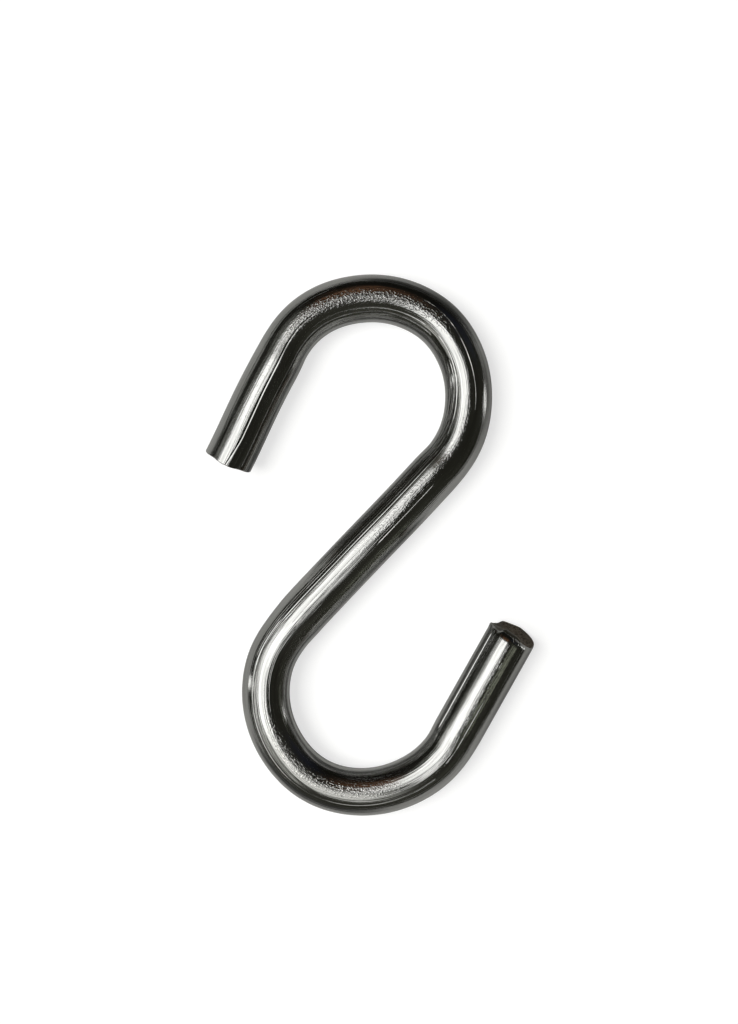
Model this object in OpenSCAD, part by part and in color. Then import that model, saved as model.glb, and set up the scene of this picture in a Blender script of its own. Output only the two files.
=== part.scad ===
// S hook: one length of round steel bar, sheared off at both ends and bent
// cold into two open hooks that face opposite ways.
//
// The hook lies flat on its side. Z = 0 is the surface under it, +Z goes
// through the thickness of the bar and +Y runs up its length. The origin is
// under the middle of the shank. To hang it, stand it up so that +Y is up.

/* [Bar] */
// Diameter of the round bar
bar_d = 5; // [3:0.1:8]
// Share of its diameter that the bar loses where it is bent
bend_thinning = 0.035; // [0.02:0.005:0.08]

/* [Shank] */
// Straight length of bar between the two bends
shank_len = 22; // [8:0.1:60]
// Slope of the shank above the X axis, in degrees
shank_slope = 46.6; // [30:0.1:75]

/* [Upper hook] */
// Inside radius of the upper bend, where a rod or ring sits
upper_inside_r = 7.7; // [5:0.1:20]
// Angle through which the upper bend turns the bar, in degrees
upper_turn = 197; // [150:1:205]
// Straight length of bar past the upper bend, to the middle of its cut end
upper_tip_len = 12.2; // [4:0.1:15]
// Lean of the upper cut, whose top edge stands out, in degrees
upper_cut_lean = 11; // [0:1:30]

/* [Lower hook] */
// Inside radius of the lower bend, where the load hangs
lower_inside_r = 7.7; // [5:0.1:20]
// Angle through which the lower bend turns the bar, in degrees
lower_turn = 194; // [150:1:205]
// Straight length of bar past the lower bend, to the middle of its cut end
lower_tip_len = 12.5; // [4:0.1:15]
// Lean of the lower cut, whose bottom edge stands out, in degrees
lower_cut_lean = 19; // [0:1:30]

/* [Cut ends] */
// Radius that the blade rolls over the edge where it enters the bar
edge_roll_r = 0.6; // [0.2:0.05:1.2]

/* [Hidden] */
$fn = 96;

bar_r = bar_d / 2;
bent_r = bar_r * (1 - bend_thinning);

// The rolled edge breaks through the skin of the bar by this share of its
// radius, so that the two surfaces cross instead of only touching.
roll_bite = 0.06;

// Bar that is left over past the cut, and how far the blade reaches round it
waste_len = bar_d;
clear = 3 * bar_d;

// Straight bar at its full thickness, which runs along +X from the origin. Its
// round ends go down into the thinner bends.
module straight_bar(length, round_start, round_end) {
    rotate([0, 90, 0])
        rotate_extrude()
            intersection() {
                union() {
                    square([bar_r, length]);
                    if (round_start)
                        circle(r = bar_r);
                    if (round_end)
                        translate([0, length])
                            circle(r = bar_r);
                }
                translate([0, -clear])
                    square([clear, length + 2 * clear]);
            }
}

// Outline of what the blade takes off, seen from the side: x points out of
// the cut face and y runs up it, from the middle of the bar. It is everything
// outside the face, and the corner outside the rolled edge.
module blade_outline(lean) {
    // Height on the face at which the rolled edge starts
    roll_start = (bar_r - edge_roll_r * (1 - roll_bite - sin(lean))) / cos(lean);

    translate([0, -clear])
        square([clear, 2 * clear]);
    translate([-edge_roll_r, roll_start])
        difference() {
            translate([edge_roll_r * sin(lean), 0])
                square([clear, clear]);
            circle(r = edge_roll_r);
        }
}

// Straight tip that runs along +X and ends in a sheared face, which leans
// back so that it looks up
module sheared_tip(length, lean) {
    difference() {
        straight_bar(length + waste_len, round_start = true, round_end = false);
        translate([length, clear, 0])
            rotate([90, 0, 0])
                linear_extrude(2 * clear)
                    rotate(lean)
                        blade_outline(lean);
    }
}

// One bend and its tip. The bar comes in along +X at the origin and turns to
// the left. The blade cuts the tip from above, or from below.
module hook_end(inside_r, turn, tip_len, lean, cut_from_above) {
    bend_r = inside_r + bent_r;

    translate([0, bend_r, 0]) {
        rotate([0, 0, -90])
            rotate_extrude(angle = turn)
                translate([bend_r, 0])
                    circle(r = bent_r);
        rotate([0, 0, turn])
            translate([0, -bend_r, 0])
                mirror([0, 0, cut_from_above ? 0 : 1])
                    sheared_tip(tip_len, lean);
    }
}

module shank() {
    translate([-shank_len / 2, 0, 0])
        straight_bar(shank_len, round_start = true, round_end = true);
}

// The whole hook is one bar, so it is one solid
module hook() {
    color([0.74, 0.74, 0.73])
        translate([0, 0, bar_r])
            rotate([0, 0, shank_slope]) {
                shank();
                translate([shank_len / 2, 0, 0])
                    hook_end(upper_inside_r, upper_turn, upper_tip_len,
                             upper_cut_lean, cut_from_above = false);
                rotate([0, 0, 180])
                    translate([shank_len / 2, 0, 0])
                        hook_end(lower_inside_r, lower_turn, lower_tip_len,
                                 lower_cut_lean, cut_from_above = true);
            }
}

hook();
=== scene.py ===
"""S hook bent from one round steel bar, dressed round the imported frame."""

import math

import bpy
import numpy as np
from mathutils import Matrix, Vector, noise


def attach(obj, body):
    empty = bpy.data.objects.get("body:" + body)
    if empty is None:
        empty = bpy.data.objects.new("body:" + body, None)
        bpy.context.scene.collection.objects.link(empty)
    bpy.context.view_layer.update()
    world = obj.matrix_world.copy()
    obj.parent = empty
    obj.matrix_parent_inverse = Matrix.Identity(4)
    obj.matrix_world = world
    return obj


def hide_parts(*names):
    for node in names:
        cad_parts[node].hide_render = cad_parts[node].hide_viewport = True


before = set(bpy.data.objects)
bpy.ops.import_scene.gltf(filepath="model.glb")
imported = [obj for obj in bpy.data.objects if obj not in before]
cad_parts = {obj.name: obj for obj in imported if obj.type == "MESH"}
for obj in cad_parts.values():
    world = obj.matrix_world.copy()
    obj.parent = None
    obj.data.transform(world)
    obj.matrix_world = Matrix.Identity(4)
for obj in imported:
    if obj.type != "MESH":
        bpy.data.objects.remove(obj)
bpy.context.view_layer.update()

MM = 0.001

# ---------------------------------------------------------------- sizes, mm
# The same named sizes as the part's source.
BAR_R = 2.5
BEND_THINNING = 0.035
BENT_R = BAR_R * (1 - BEND_THINNING)
SHANK_LEN = 22.0
SLOPE = math.radians(46.6)
INSIDE_R = 7.7
BEND_R = INSIDE_R + BENT_R
UPPER_TURN, UPPER_TIP, UPPER_LEAN = math.radians(197), 12.2, math.radians(11)
LOWER_TURN, LOWER_TIP, LOWER_LEAN = math.radians(194), 12.5, math.radians(19)

THINNING_LEN = 3.0  # length over which the bar thins into a bend
MOST_DRAWN = (27.0, 77.0)  # where each bend is thinnest, as a distance along the bar
DRAWN_LEN = 5.0  # over what length to either side it is that thin
DRAWN_MORE = 0.4  # how much more it loses there, as a share of the thinning

# ------------------------------------------------------------ the bar's path
# Distance along the bar is counted from the lower cut end.
LOWER_ARC = BEND_R * LOWER_TURN
UPPER_ARC = BEND_R * UPPER_TURN
S_LOWER_BEND = LOWER_TIP
S_SHANK = S_LOWER_BEND + LOWER_ARC
S_UPPER_BEND = S_SHANK + SHANK_LEN
S_UPPER_TIP = S_UPPER_BEND + UPPER_ARC
S_END = S_UPPER_TIP + UPPER_TIP

# Where cold bending left the bar slightly off its true line: distance along
# the bar, how far it is off towards its left, and over what length.
WANDER = (
    (19.0, -0.08, 3.5),
    (28.5, 0.19, 4.0),
    (45.5, -0.12, 2.2),
    (63.0, -0.06, 5.0),
    (76.0, 0.08, 3.0),
    (84.5, -0.12, 3.0),
    (93.5, 0.11, 3.5),
    (103.5, 0.12, 3.0),
    (115.0, 0.14, 4.5),
)


def straight(start, heading, length):
    """Where a straight line of that length from start ends."""
    return start + length * np.array([math.cos(heading), math.sin(heading)])


def half_point(d, heading, arc):
    """Point at distance d from the middle of the shank, and the heading there, on the half that
    leaves the middle along heading."""
    if d <= SHANK_LEN / 2:
        return straight(np.zeros(2), heading, d), heading
    start = straight(np.zeros(2), heading, SHANK_LEN / 2)
    centre = start + BEND_R * np.array([-math.sin(heading), math.cos(heading)])
    d -= SHANK_LEN / 2
    turned = heading + min(d, arc) / BEND_R
    point = centre + BEND_R * np.array([math.sin(turned), -math.cos(turned)])
    return straight(point, turned, max(0.0, d - arc)), turned


def path_point(s):
    """Middle of the bar at distance s, and the way it heads, in the plane of the hook."""
    middle = S_SHANK + SHANK_LEN / 2
    if s >= middle:
        return half_point(s - middle, SLOPE, UPPER_ARC)
    point, heading = half_point(middle - s, SLOPE + math.pi, LOWER_ARC)
    return point, heading + math.pi


# Middle of the upper bend; the lower one is half a turn away
BEND_CENTRE = straight(straight(np.zeros(2), SLOPE, SHANK_LEN / 2), SLOPE + math.pi / 2, BEND_R)


def smooth(x):
    """0 up to 0 and 1 from 1, with a smooth step between."""
    x = np.clip(x, 0, 1)
    return x * x * (3 - 2 * x)


def bar_radius(s):
    """Radius of the bar, which thins into each bend over a short length."""

    def within(a, b):
        return smooth((s - a) / THINNING_LEN + 0.5) * smooth((b - s) / THINNING_LEN + 0.5)

    bent = within(S_LOWER_BEND, S_SHANK) + within(S_UPPER_BEND, S_UPPER_TIP)
    drawn = sum(math.exp(-(((s - at) / DRAWN_LEN) ** 2)) for at in MOST_DRAWN)
    return BAR_R + (BENT_R - BAR_R) * bent * (1 + DRAWN_MORE * drawn)


def wander(s):
    """How far the bar is off its true line at distance s."""
    return sum(off * math.exp(-(((s - at) / length) ** 2)) for at, off, length in WANDER)


# --------------------------------------------------------------- the bar mesh
AROUND = 112  # points in a ring
ALONG = 700  # rings along the bar
FACE_RINGS = 22  # rings across each cut face
ROLL_RINGS = 10  # rings round each rolled edge
END_RINGS = 26  # rings in the length of bar next to each cut
END_LEN = 3.0  # that length, over which the rings turn square to the bar
# Line across the lower cut face, below which the face leans out: its height
# above the bar's middle, and its slope
SPLIT, SPLIT_SLOPE = -0.18, 0.41
# Least and most radius of the rolled edge round each cut
LOWER_ROLL = (0.08, 1.05)
UPPER_ROLL = (0.06, 0.51)
BRIGHT_ROLL = 0.9  # angle round the rolled edge up to which it keeps its plating


def split_height(w):
    """Height of that line at a place across the cut, a little uneven."""
    return SPLIT + SPLIT_SLOPE * w + 0.10 * noise.noise(Vector((w * 1.3, 3.0, 0.3)))


def cut_s(end, w, z):
    """Distance along the bar of the cut face, at a place across it and a height above the bar's middle."""
    if end == 0:
        # The upper half stands upright, and the lower half leans out below it
        s = math.tan(LOWER_LEAN) * min(z, split_height(w))
        # The cut runs back a little towards the right, where the corner broke away
        return s + 0.14 * float(smooth((0.8 - w) / 1.6)) + 0.35 * float(smooth((-1.3 - w) / 0.5))
    # Two shallow dips, one to either side of the middle
    dips = math.exp(-(((w - 1.6) / 0.6) ** 2)) + math.exp(-(((w + 1.4) / 0.6) ** 2))
    return S_END + math.tan(UPPER_LEAN) * z - 0.11 * dips


def roll_radius(end, up):
    """Radius of the rolled edge, where up is 1 on top of the bar and -1 under it."""
    if end == 0:
        (least, most), share = LOWER_ROLL, smooth((up + 0.3) / 1.3)
    else:
        (least, most), share = UPPER_ROLL, smooth((-0.2 - up) / 0.8)
    return least + (most - least) * float(share)


def torn(end, w, h):
    """How far a point of a cut face stands out of it: the half that juts out is rough."""
    side = h - split_height(w) if end == 0 else -h
    share = float(smooth(-side / 0.25))
    grain = noise.fractal(Vector((w * 2.2, h * 2.2, end * 5.0)), 1.0, 2.0, 4)
    return share * 0.08 * grain


# Where the bar is a little flat on top, or humped if the depth is negative:
# distance along the bar, over what length, how far round to the left in
# radians, and how deep.
FLATS = (
    (43.5, 4.0, 0.22, 0.050),
    (55.0, 8.0, 0.08, 0.030),
    (28.0, 5.0, 0.25, -0.030),
    (73.2, 4.0, 0.22, -0.050),
)


def flat_top(s, phi):
    """How much the flats take off the bar, at an angle from its top towards its left."""
    return sum(depth * math.exp(-(((s - at) / length) ** 2) - ((phi - side) / 0.35) ** 2)
               for at, length, side, depth in FLATS)


def skin(s, phi):
    """How far the skin stands off the plain round bar."""
    # A small burr on the right of the lower cut, and a slow fall on top towards that cut
    burr = 0.05 * math.exp(-(((s - 0.3) / 0.2) ** 2) - ((phi + math.pi / 2) / 0.12) ** 2)
    fall = 0.10 * max(0.0, 1 - s / 1.8) ** 2 * max(0.0, math.cos(phi)) ** 2
    return burr - flat_top(s, phi) - fall


def make_bar():
    """The whole bar as one closed mesh, with its own straightened coordinates kept on its points."""
    verts, coords, faces, mats = [], [], [], []
    phis = [2 * math.pi * k / AROUND - math.pi for k in range(AROUND)]
    frames = {}

    def frame_at(s):
        """Middle of the bar at distance s, and the way to its left."""
        if s not in frames:
            point, heading = path_point(s)
            left = np.array([-math.sin(heading), math.cos(heading)])
            frames[s] = (point + left * wander(s), left)
        return frames[s]

    def ring(points):
        """Adds points given as distance along, radius and angle, and says which comes first."""
        first = len(verts)
        for s, r, phi in points:
            middle, left = frame_at(s)
            p = middle + left * (r * math.sin(phi))
            verts.append((p[0] * MM, p[1] * MM, (BAR_R + r * math.cos(phi)) * MM))
            coords.append((s, r * math.sin(phi), r * math.cos(phi)))
        return first

    def join(a, b, mat):
        """Faces between the rings that start at a and b."""
        for k in range(AROUND):
            n = (k + 1) % AROUND
            faces.append((a + k, a + n, b + n, b + k))
            mats.append(mat)

    def end_rings(end):
        """Rings from the side of the bar round its rolled edge to the middle of the cut face."""
        sign = -1 if end == 0 else 1
        made = []
        for j in range(ROLL_RINGS + 1):
            a = math.pi / 2 * j / ROLL_RINGS
            pts = []
            for phi in phis:
                rho = roll_radius(end, math.cos(phi))
                r = BAR_R - rho * (1 - math.cos(a))
                rim = cut_s(end, BAR_R * math.sin(phi), BAR_R * math.cos(phi))
                s = rim - sign * rho * (1 - math.sin(a))
                pts.append((s, r + skin(s, phi), phi))
            # Past that angle the roll takes the cut face's material, whose near-black colour is painted
            # shade
            made.append((pts, 0 if a < BRIGHT_ROLL else 1))
        for j in range(1, FACE_RINGS):
            f = 1 - j / FACE_RINGS
            pts = []
            for phi in phis:
                rho = roll_radius(end, math.cos(phi))
                r = (BAR_R - rho) * f
                w, h = r * math.sin(phi), r * math.cos(phi)
                # The face runs on from the rolled edge and flattens towards its middle
                rim = cut_s(end, BAR_R * math.sin(phi), BAR_R * math.cos(phi))
                flat = cut_s(end, w, h)
                s = flat + (rim - flat) * f ** 3
                pts.append((s + sign * torn(end, w, h) * (1 - f ** 12), r, phi))
            made.append((pts, 1))
        return made

    # Rings down the bar, with the ones near each end turned to follow the cut.
    # Each is kept with its material: 0 is plated, 1 is cut.
    rings = []
    low_end, high_end = end_rings(0), end_rings(1)
    for pts, mat in reversed(low_end):
        rings.append((ring(pts), mat))
    low_edge = low_end[0][0]
    high_edge = high_end[0][0]
    steps = [k / END_RINGS for k in range(1, END_RINGS)]
    for f in steps:
        pts = []
        for s0, _, phi in low_edge:
            s = s0 + (END_LEN - s0) * f
            pts.append((s, BAR_R + skin(s, phi), phi))
        rings.append((ring(pts), 0))
    for j in range(ALONG + 1):
        s = END_LEN + (S_END - 2 * END_LEN) * j / ALONG
        r = float(bar_radius(s))
        rings.append((ring([(s, r + skin(s, phi), phi) for phi in phis]), 0))
    for f in reversed(steps):
        pts = []
        for s0, _, phi in high_edge:
            s = s0 + (S_END - END_LEN - s0) * f
            pts.append((s, BAR_R + skin(s, phi), phi))
        rings.append((ring(pts), 0))
    for pts, mat in high_end:
        rings.append((ring(pts), mat))

    for (a, ma), (b, mb) in zip(rings, rings[1:]):
        join(b, a, max(ma, mb))

    # Middle of each cut face
    for end, (first, _) in ((0, rings[0]), (1, rings[-1])):
        sign = -1 if end == 0 else 1
        s = cut_s(end, 0, 0) + sign * torn(end, 0, 0)
        mid = ring([(s, 0, 0)])
        for k in range(AROUND):
            m = (k + 1) % AROUND
            faces.append((first + k, first + m, mid) if end == 1 else (first + m, first + k, mid))
            mats.append(1)

    mesh = bpy.data.meshes.new("bar")
    mesh.from_pydata(verts, [], faces)
    mesh.update()
    at = mesh.attributes.new("along", "FLOAT_VECTOR", "POINT")
    at.data.foreach_set("vector", np.array(coords, np.float32).ravel())
    mesh.polygons.foreach_set("material_index", np.array(mats, np.int32))
    mesh.polygons.foreach_set("use_smooth", np.ones(len(faces), bool))
    ob = bpy.data.objects.new("bar", mesh)
    bpy.context.scene.collection.objects.link(ob)
    return ob


bar = make_bar()

# ------------------------------------------------------------ node helpers


class Tree:
    """Short names for building one node tree."""

    def __init__(self, tree):
        self.tree = tree
        tree.nodes.clear()

    def node(self, kind, **values):
        """A node, with values for its inputs or its own settings."""
        n = self.tree.nodes.new(kind)
        for key, value in values.items():
            if key in n.inputs:
                self.put(n.inputs[key], value)
            else:
                setattr(n, key, value)
        return n

    def put(self, socket, value):
        """Links or sets one input."""
        if isinstance(value, bpy.types.NodeSocket):
            self.tree.links.new(value, socket)
        else:
            socket.default_value = value

    def math(self, operation, a, b=None):
        n = self.tree.nodes.new("ShaderNodeMath")
        n.operation = operation
        self.put(n.inputs[0], a)
        if b is not None:
            self.put(n.inputs[1], b)
        return n.outputs[0]

    def vec(self, operation, a, b=None):
        n = self.tree.nodes.new("ShaderNodeVectorMath")
        n.operation = operation
        self.put(n.inputs[0], a)
        if b is not None:
            self.put(n.inputs[1], b)
        return n.outputs["Value"] if operation in ("DOT_PRODUCT", "LENGTH") else n.outputs["Vector"]

    def scaled(self, vector, factor):
        """A vector times one number, which may come from a node."""
        n = self.tree.nodes.new("ShaderNodeVectorMath")
        n.operation = "SCALE"
        self.put(n.inputs[0], vector)
        self.put(n.inputs["Scale"], factor)
        return n.outputs["Vector"]

    def ramp(self, value, low, high, to_low=0.0, to_high=1.0):
        """Smooth step of a value from low to high, on to another pair of values."""
        n = self.tree.nodes.new("ShaderNodeMapRange")
        n.interpolation_type = "SMOOTHSTEP"
        for k, v in enumerate((value, low, high, to_low, to_high)):
            self.put(n.inputs[k], v)
        return n.outputs["Result"]

    def gauss(self, value, middle, width):
        """1 at middle, falling off to either side over about width."""
        d = self.math("DIVIDE", self.math("SUBTRACT", value, middle), width)
        return self.math("EXPONENT", self.math("MULTIPLY", self.math("MULTIPLY", d, d), -1.0))

    def span(self, value, low, high, soft):
        """1 between low and high, with soft ends."""
        up = self.ramp(value, low - soft, low + soft)
        down = self.ramp(value, high - soft, high + soft, 1.0, 0.0)
        return self.math("MULTIPLY", up, down)

    def mix(self, factor, a, b):
        n = self.tree.nodes.new("ShaderNodeMix")
        n.data_type = "RGBA"
        self.put(n.inputs["Factor"], factor)
        self.put(n.inputs["A"], a)
        self.put(n.inputs["B"], b)
        return n.outputs["Result"]

    def noise(self, vector, scale, detail=2.0, roughness=0.5):
        n = self.tree.nodes.new("ShaderNodeTexNoise")
        self.put(n.inputs["Vector"], vector)
        n.inputs["Scale"].default_value = scale
        n.inputs["Detail"].default_value = detail
        n.inputs["Roughness"].default_value = roughness
        return n.outputs["Fac"]


# --------------------------------------------------------------- materials
# Long scores that the die and the bending tool left on top of the bar, and two
# short nicks at the lower cut: from and to along the bar, the place across it
# at each of these, width and depth, all in mm. Across counts to the left of the
# way the bar runs.
SCORES = (
    (5.5, 15.0, 0.55, 0.50, 0.06, 0.020),
    (37.0, 47.0, 1.18, 1.22, 0.06, 0.022),
    (40.0, 71.0, 1.10, 1.02, 0.05, 0.018),
    (42.0, 70.0, 1.40, 1.30, 0.06, 0.020),
    (44.0, 72.0, 1.66, 1.60, 0.05, 0.018),
    (70.4, 81.0, 2.03, 1.65, 0.06, 0.030),
    (70.4, 81.0, 1.84, 1.33, 0.06, 0.030),
    (74.2, 80.8, -0.58, -0.50, 0.05, 0.022),
    (79.6, 88.0, -0.50, -0.89, 0.05, 0.022),
    (15.5, 38.0, 0.92, 1.20, 0.06, 0.030),
    (0.4, 12.6, -1.98, -1.94, 0.09, 0.130),
    (58.0, 67.0, -0.60, -0.60, 0.05, 0.022),
    (85.0, 100.0, 1.12, 1.20, 0.05, 0.030),
    (84.0, 99.0, 1.50, 1.60, 0.06, 0.034),
    (94.0, 101.0, 2.02, 2.06, 0.06, 0.030),
    (98.0, 113.6, 0.25, 0.45, 0.07, 0.028),
    (112.4, 117.2, 0.46, 0.10, 0.07, 0.028),
    (103.0, 116.0, 1.00, 1.02, 0.05, 0.020),
    (71.0, 84.0, 1.38, 1.02, 0.05, 0.026),
    (72.0, 83.0, 2.12, 1.90, 0.06, 0.026),
    (0.15, 0.80, 0.05, 0.31, 0.06, 0.07),
    (0.0, 0.55, 0.30, 0.75, 0.06, 0.07),
    (97.0, 116.0, 1.60, 1.64, 0.05, 0.034),
)

# Places where bending pulled the skin into a fine grain, like orange peel:
# from and to along the bar, from and to across it, and how deep it is there.
GRAIN = (
    (21.0, 36.0, -1.1, 0.2, 0.9),
    (1.0, 14.0, -0.1, 0.9, 0.5),
    (57.0, 76.0, -0.4, 0.6, 0.4),
    (84.0, 101.0, -0.7, 0.5, 1.3),
    (100.0, 115.0, -1.2, 0.1, 0.2),
)
GRAIN_ALL_OVER = 0.02  # how deep the same grain is everywhere else
GRAIN_HEIGHT = 0.016  # height in mm of a grain that is 1 deep

# Height in mm of the broad and the fine die lines, of the rare deep ones, and
# of the long slow waves
BROAD_LINES, FINE_LINES, RARE_LINES, WAVES = 0.03, 0.026, 0.006, 0.05


def bar_coordinates(t):
    """Coordinates of the straightened bar in mm, and its parts: along, across and up."""
    where = t.node("ShaderNodeAttribute", attribute_name="along").outputs["Vector"]
    parts = t.node("ShaderNodeSeparateXYZ", Vector=where)
    return where, parts.outputs[0], parts.outputs[1], parts.outputs[2]


def steel():
    """Bright plated steel, drawn through a die."""
    mat = bpy.data.materials.new("bright_steel")
    mat.use_nodes = True
    t = Tree(mat.node_tree)
    where, along, across, up = bar_coordinates(t)
    top = t.ramp(up, -0.2, 0.3)

    # Die lines, stretched far along the bar
    broad = t.noise(t.vec("MULTIPLY", where, (0.018, 1, 1)), 1.3, 2.0, 0.5)
    fine = t.noise(t.vec("MULTIPLY", where, (0.022, 1, 1)), 4.2, 3.0, 0.6)
    height = t.math("ADD", t.math("MULTIPLY", broad, BROAD_LINES), t.math("MULTIPLY", fine, FINE_LINES))
    rare = t.noise(t.vec("MULTIPLY", where, (0.008, 1, 1)), 6.0, 1.0, 0.5)
    height = t.math("SUBTRACT", height, t.ramp(rare, 0.58, 0.72, 0.0, RARE_LINES))

    # Long slow waves
    wave = t.noise(t.vec("MULTIPLY", where, (0.3, 1, 1)), 0.45, 1.0, 0.4)
    height = t.math("ADD", height, t.math("MULTIPLY", wave, WAVES))

    # Scores
    for s0, s1, w0, w1, width, depth in SCORES:
        soft = min(0.5, (s1 - s0) / 5)
        centre = t.ramp(along, s0, s1, w0, w1)
        line = t.gauss(t.math("SUBTRACT", across, centre), 0.0, width)
        line = t.math("MULTIPLY", line, t.span(along, s0 + soft, s1 - soft, soft))
        line = t.math("MULTIPLY", line, t.math("MULTIPLY", top, -depth))
        height = t.math("ADD", height, line)

    # Grain
    deep = None
    for s0, s1, w0, w1, amount in GRAIN:
        patch = t.math("MULTIPLY", t.span(along, s0, s1, 3.5), t.span(across, w0, w1, 0.4))
        patch = t.math("MULTIPLY", patch, t.math("MULTIPLY", top, amount))
        deep = patch if deep is None else t.math("MAXIMUM", deep, patch)
    peel = t.ramp(t.noise(t.vec("MULTIPLY", where, (0.6, 1, 1)), 6.3, 1.0, 0.6), 0.47, 0.70)
    deep = t.math("ADD", deep, GRAIN_ALL_OVER)
    height = t.math("ADD", height, t.math("MULTIPLY", peel, t.math("MULTIPLY", deep, GRAIN_HEIGHT)))

    bump = t.node("ShaderNodeBump", Strength=1.0, Distance=0.001)
    t.put(bump.inputs["Height"], height)

    rough = t.math("ADD", t.ramp(fine, 0.3, 0.7, 0.11, 0.19), t.math("MULTIPLY", deep, 0.015))
    bsdf = t.node("ShaderNodeBsdfPrincipled", Metallic=1.0)
    shade = t.noise(t.vec("MULTIPLY", where, (0.06, 1, 1)), 2.2, 3.0, 0.6)
    t.put(bsdf.inputs["Base Color"],
          t.mix(t.ramp(shade, 0.35, 0.65), (0.54, 0.54, 0.52, 1), (0.66, 0.66, 0.64, 1)))
    t.put(bsdf.inputs["Roughness"], rough)
    t.put(bsdf.inputs["Normal"], bump.outputs[0])
    out = t.node("ShaderNodeOutputMaterial")
    t.put(out.inputs["Surface"], bsdf.outputs[0])
    return mat


TEAR_TOP = 1.52  # how far a cut is torn from the bar's middle towards the blade's side, in mm


def broken_steel():
    """Cut face: smooth high on the rolled edge, where the blade slid past, with painted shade making it
    near black there, and torn beyond it.
    """
    mat = bpy.data.materials.new("sheared_steel")
    mat.use_nodes = True
    t = Tree(mat.node_tree)
    where, along, across, up = bar_coordinates(t)
    # The blade came in from above at the lower end, and from below at the upper one
    side = t.math("MULTIPLY", up, t.ramp(along, 50.0, 60.0, 1.0, -1.0))
    line = t.math("MULTIPLY", across, t.ramp(along, 50.0, 60.0, SPLIT_SLOPE, 0.0))
    edge = t.math("ADD", t.math("SUBTRACT", side, line), t.math("MULTIPLY", t.noise(where, 1.5, 2.0), 0.2))
    tear = t.ramp(edge, TEAR_TOP + 0.15, TEAR_TOP)
    grain = t.noise(where, 4.5, 4.0, 0.65)
    bump = t.node("ShaderNodeBump", Strength=1.0, Distance=0.001)
    t.put(bump.inputs["Height"], t.math("MULTIPLY", grain, t.ramp(tear, 0.0, 1.0, 0.01, 0.14)))
    lip = t.gauss(edge, TEAR_TOP + 0.02, 0.06)
    bsdf = t.node("ShaderNodeBsdfPrincipled", Metallic=1.0)
    torn_colour = t.mix(t.ramp(grain, 0.35, 0.65), (0.11, 0.085, 0.065, 1), (0.34, 0.29, 0.23, 1))
    # The near black on the smooth part is painted shade, for the shadowed floor that it mirrors; the torn
    # part keeps its own brown
    face_colour_and_shade = t.mix(tear, (0.05, 0.046, 0.032, 1), torn_colour)
    # The broken corner is paler
    face_colour_and_shade = t.mix(t.ramp(across, -1.0, -1.9), face_colour_and_shade, (0.17, 0.16, 0.14, 1))
    t.put(bsdf.inputs["Base Color"], t.mix(lip, face_colour_and_shade, (0.50, 0.48, 0.40, 1)))
    t.put(bsdf.inputs["Roughness"], t.ramp(tear, 0.0, 1.0, 0.28, 0.55))
    t.put(bsdf.inputs["Normal"], bump.outputs[0])
    out = t.node("ShaderNodeOutputMaterial")
    t.put(out.inputs["Surface"], bsdf.outputs[0])
    return mat


bar.data.materials.append(steel())
bar.data.materials.append(broken_steel())
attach(bar, "root")
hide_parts("hook")

# ------------------------------------------------------------------- floor
FLOOR_SIZE = 3.0
PAPER = (0.34, 0.34, 0.33, 1)
# The next two set where the floor's painted shade, seen only in the metal, is darkest
BEYOND_BEND = (0.53, 0.85, 0)  # the way from the middle of the upper bend to the darkest floor
MOUTH_WAY, MOUTH_LEN = math.radians(232), 14.0  # from there out of the hook's mouth, in mm


def from_line(t, place, start, heading, length):
    """Distance of a place on the floor from a straight line of that length, all in mm."""
    way = (math.cos(heading), math.sin(heading), 0)
    off = t.vec("SUBTRACT", place, (start[0], start[1], 0))
    along = t.math("MINIMUM", t.math("MAXIMUM", t.vec("DOT_PRODUCT", off, way), 0.0), length)
    return t.vec("LENGTH", t.vec("SUBTRACT", off, t.scaled(way, along)))


# Painted shade on the floor, seen only in the metal: x and y, how far each
# reaches, in mm, and how dark.
PAINTED_SHADE_PATCHES = (
    (13, 30, 8, 0.75),
    (29, 17, 13, 0.85),
    (60, 12, 25, 0.80),
    (17, -15, 10, 0.50),
)


def painted_floor_shade(t):
    """How dark the floor looks in the metal, from 0 to 1: painted shade that leaves it bright only near
    the hook.
    """
    place = t.vec("MULTIPLY", t.node("ShaderNodeTexCoord").outputs["Object"], (1 / MM, 1 / MM, 0))
    # Half a turn maps the lower hook onto the upper one, so one hook stands for both
    across = t.vec("DOT_PRODUCT", place, (-math.sin(SLOPE), math.cos(SLOPE), 0))
    one = t.scaled(place, t.math("SIGN", across))
    tip, tip_heading = path_point(S_UPPER_TIP)
    centre = (BEND_CENTRE[0], BEND_CENTRE[1], 0)
    from_centre = t.vec("LENGTH", t.vec("SUBTRACT", one, centre))
    gap = t.math("ABSOLUTE", t.math("SUBTRACT", from_centre, BEND_R))
    gap = t.math("MINIMUM", gap, from_line(t, one, tip, tip_heading, UPPER_TIP))
    gap = t.math("MINIMUM", gap, from_line(t, one, (0, 0), SLOPE, SHANK_LEN / 2))
    # Painted shade darkens it away from the hook, and the most beyond the two bends
    side = t.vec("DOT_PRODUCT", t.vec("NORMALIZE", t.vec("SUBTRACT", one, centre)), BEYOND_BEND)
    dark = t.math("MULTIPLY", t.ramp(gap, 5.0, 15.0), t.ramp(side, 0.65, 0.95, 0.1, 0.85))
    # Inside the bends and out between tip and shank, painted shade stands in for the hook keeping the
    # light off
    mouth = from_line(t, one, BEND_CENTRE, MOUTH_WAY, MOUTH_LEN)
    dark = t.math("MAXIMUM", dark, t.ramp(mouth, 1.4, 4.9, 0.85, 0.0))
    # Each patch is painted shade
    for x, y, reach, amount in PAINTED_SHADE_PATCHES:
        off = t.vec("LENGTH", t.vec("SUBTRACT", place, (x, y, 0)))
        dark = t.math("MAXIMUM", dark, t.math("MULTIPLY", t.gauss(off, 0.0, reach), amount))
    return dark


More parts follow.
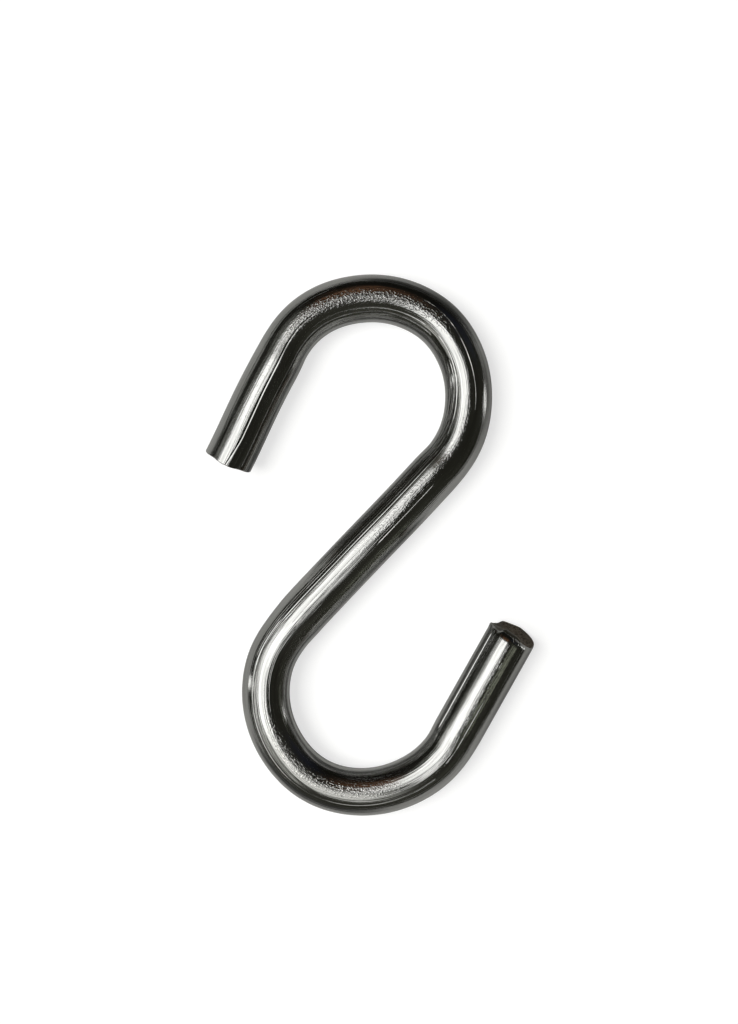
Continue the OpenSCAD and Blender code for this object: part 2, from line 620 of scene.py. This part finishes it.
def floor_material():
    """Paper that looks white to the camera, and keeps the hook's shadow; in the metal it shows painted
    shade away from the hook.
    """
    mat = bpy.data.materials.new("floor")
    mat.use_nodes = True
    t = Tree(mat.node_tree)
    path = t.node("ShaderNodeLightPath")
    # Painted shade on the paper's colour, only for rays that the metal mirrors
    shade = t.math("MULTIPLY", painted_floor_shade(t), path.outputs["Is Glossy Ray"])
    paper = t.node("ShaderNodeBsdfDiffuse")
    t.put(paper.inputs["Color"], t.mix(shade, PAPER, (0, 0, 0, 1)))
    glow = t.node("ShaderNodeEmission")
    glow.inputs["Color"].default_value = (1, 1, 1, 1)
    # Away from the lamp, which is over the hook, the glow makes up for the light that is missing
    away = t.vec("LENGTH", t.node("ShaderNodeTexCoord").outputs["Object"])
    strength = t.ramp(away, 0.15, 0.9, 0.72, 1.0)
    t.put(glow.inputs["Strength"], t.math("MULTIPLY", path.outputs["Is Camera Ray"], strength))
    both = t.node("ShaderNodeAddShader")
    t.put(both.inputs[0], paper.outputs[0])
    t.put(both.inputs[1], glow.outputs[0])
    out = t.node("ShaderNodeOutputMaterial")
    t.put(out.inputs["Surface"], both.outputs[0])
    return mat


def flat_sheet(name, width, depth, material):
    """A level rectangle about the origin."""
    w, d = width / 2, depth / 2
    mesh = bpy.data.meshes.new(name)
    mesh.from_pydata([(-w, -d, 0), (w, -d, 0), (w, d, 0), (-w, d, 0)], [], [(0, 1, 2, 3)])
    mesh.materials.append(material)
    ob = bpy.data.objects.new(name, mesh)
    bpy.context.scene.collection.objects.link(ob)
    return ob


floor = flat_sheet("floor", FLOOR_SIZE, FLOOR_SIZE, floor_material())

# ------------------------------------------------------------------ lights
scene = bpy.context.scene
world = bpy.data.worlds.new("studio")
scene.world = world
world.use_nodes = True


def direction(azimuth, polar):
    """Unit vector at an azimuth from +X towards +Y, and an angle from straight up, in degrees."""
    a, p = math.radians(azimuth), math.radians(polar)
    return (math.sin(p) * math.cos(a), math.sin(p) * math.sin(a), math.cos(p))


def make_world():
    """The dark room that the steel mirrors, which the camera sees as white."""
    t = Tree(world.node_tree)
    way = t.node("ShaderNodeTexCoord").outputs["Generated"]

    def spot(azimuth, polar, inner, outer):
        """1 within inner degrees of a direction, and 0 beyond outer degrees."""
        d = t.vec("DOT_PRODUCT", way, direction(azimuth, polar))
        return t.ramp(d, math.cos(math.radians(outer)), math.cos(math.radians(inner)))

    def add(total, factor, colour):
        part = t.scaled(colour, factor)
        return part if total is None else t.vec("ADD", total, part)

    # Dark walls, darkest at the back
    dim = t.math("SUBTRACT", 1.0, t.math("MULTIPLY", spot(85, 75, 25, 60), 0.6))
    total = add(None, dim, (0.018, 0.018, 0.014))
    total = add(total, spot(265, 60, 20, 60), (0.015, 0.015, 0.012))
    # A band of light on the left below the window, a patch behind it and a faint rail in front
    level = t.vec("DOT_PRODUCT", way, (0, 0, 1))
    band = t.math("MULTIPLY", t.ramp(level, 0.50, 0.54), t.ramp(level, 0.64, 0.68, 1.0, 0.0))
    total = add(total, t.math("MULTIPLY", band, spot(196, 54, 20, 39)), (0.80, 0.80, 0.77))
    total = add(total, spot(139, 42, 4, 13), (0.16, 0.16, 0.15))
    rail = t.math("MULTIPLY", t.ramp(level, 0.40, 0.44), t.ramp(level, 0.48, 0.52, 1.0, 0.0))
    total = add(total, t.math("MULTIPLY", rail, spot(275, 62, 40, 75)), (0.03, 0.03, 0.027))
    # Something brown at the back, and something dark blue beside it
    total = add(total, spot(93, 38, 6, 21), (0.065, 0.030, 0.015))
    total = add(total, spot(104, 33, 3, 9), (0.14, 0.067, 0.034))
    total = add(total, spot(38, 57, 5, 20), (0.002, 0.004, 0.014))

    path = t.node("ShaderNodeLightPath")
    back = t.node("ShaderNodeBackground")
    t.put(back.inputs["Color"], t.mix(path.outputs["Is Camera Ray"], total, (1, 1, 1, 1)))
    back.inputs["Strength"].default_value = 1.0
    out = t.node("ShaderNodeOutputWorld")
    t.put(out.inputs["Surface"], back.outputs[0])


make_world()


def card(name, centre, size, core, colour, strength, turn=0.0, tilt=0.0):
    """A lit oval card that only the metal sees. Sizes are in mm.

    It is bright out to the share core of its size and fades beyond that. It faces the hook,
    unless turn is given: then it lies level, turned by that and tilted about its long side.
    """
    mat = bpy.data.materials.new(name)
    mat.use_nodes = True
    t = Tree(mat.node_tree)
    place = t.vec("SUBTRACT", t.node("ShaderNodeTexCoord").outputs["Generated"], (0.5, 0.5, 0))
    far = t.vec("LENGTH", t.vec("MULTIPLY", place, (2, 2, 0)))
    glow = t.node("ShaderNodeEmission")
    glow.inputs["Color"].default_value = (*colour, 1)
    t.put(glow.inputs["Strength"], t.ramp(far, core, 1.0, strength, 0.0))
    clear = t.node("ShaderNodeBsdfTransparent")
    both = t.node("ShaderNodeAddShader")
    t.put(both.inputs[0], glow.outputs[0])
    t.put(both.inputs[1], clear.outputs[0])
    out = t.node("ShaderNodeOutputMaterial")
    t.put(out.inputs["Surface"], both.outputs[0])
    ob = flat_sheet(name, size[0] * MM, size[1] * MM, mat)
    ob.location = [c * MM for c in centre]
    if turn:
        ob.rotation_euler = (math.radians(tilt), 0, math.radians(turn))
    else:
        ob.rotation_euler = Vector(centre).to_track_quat("Z", "Y").to_euler()
    ob.visible_camera = ob.visible_diffuse = ob.visible_shadow = ob.visible_transmission = False


def around(azimuth, polar, distance):
    """A place at that distance from the origin."""
    return [c * distance for c in direction(azimuth, polar)]


# Window, and two small lamps near the horizon
FAR = 300  # how far off they are, in mm
card("window_card", around(175, 22, FAR), (262, 262), 0.62, (1, 1, 1), 1.75)
card("right_card", around(4, 87, FAR), (82, 46), 0.5, (1, 1, 1), 3.4)
card("left_card", around(182.5, 82, FAR), (44, 110), 0.4, (1, 1, 1), 2.4)
# Small pale things close to the hook
card("near_card", (7.0, -24.0, 12), (8, 3.4), 0.4, (1, 1, 1), 1.3, turn=50, tilt=-20)
card("long_card", (-2.7, -5.9, 12), (17, 2.6), 0.5, (1, 1, 1), 0.75, turn=52, tilt=25)
card("low_card", (-9, -31, 26), (44, 25), 0.35, (1, 1, 0.97), 0.85, turn=148, tilt=22)
card("side_card", (16.4, -17.0, 12), (20, 4.8), 0.5, (0.95, 1, 0.80), 0.27, turn=60)

# Soft light on the floor, from a lamp that the metal doesn't mirror
LAMP_WAY, LAMP_FAR = Vector(direction(180, 27)), 1.1
lamp_data = bpy.data.lights.new("overhead", "AREA")
lamp_data.shape = "SQUARE"
lamp_data.size = 0.6
lamp_data.energy = 14.0
lamp = bpy.data.objects.new("overhead", lamp_data)
lamp.location = LAMP_WAY * LAMP_FAR
lamp.rotation_euler = LAMP_WAY.to_track_quat("Z", "Y").to_euler()
lamp.visible_glossy = False
scene.collection.objects.link(lamp)

# ------------------------------------------------------------------ camera
CAMERA_AT = (0.142, 3.296, 180.0)  # it looks straight down from here, in mm
VIEW_HEIGHT = 103.85  # how much of the length is in view at half the bar's height
SENSOR = 36.0
cam_data = bpy.data.cameras.new("camera")
cam = bpy.data.objects.new("camera", cam_data)
cam_data.sensor_width = SENSOR
cam_data.lens = SENSOR * (CAMERA_AT[2] - BAR_R) / VIEW_HEIGHT
cam_data.clip_start, cam_data.clip_end = 0.01, 10
cam.location = [c * MM for c in CAMERA_AT]
scene.collection.objects.link(cam)
scene.camera = cam
scene.view_settings.view_transform = "Standard"
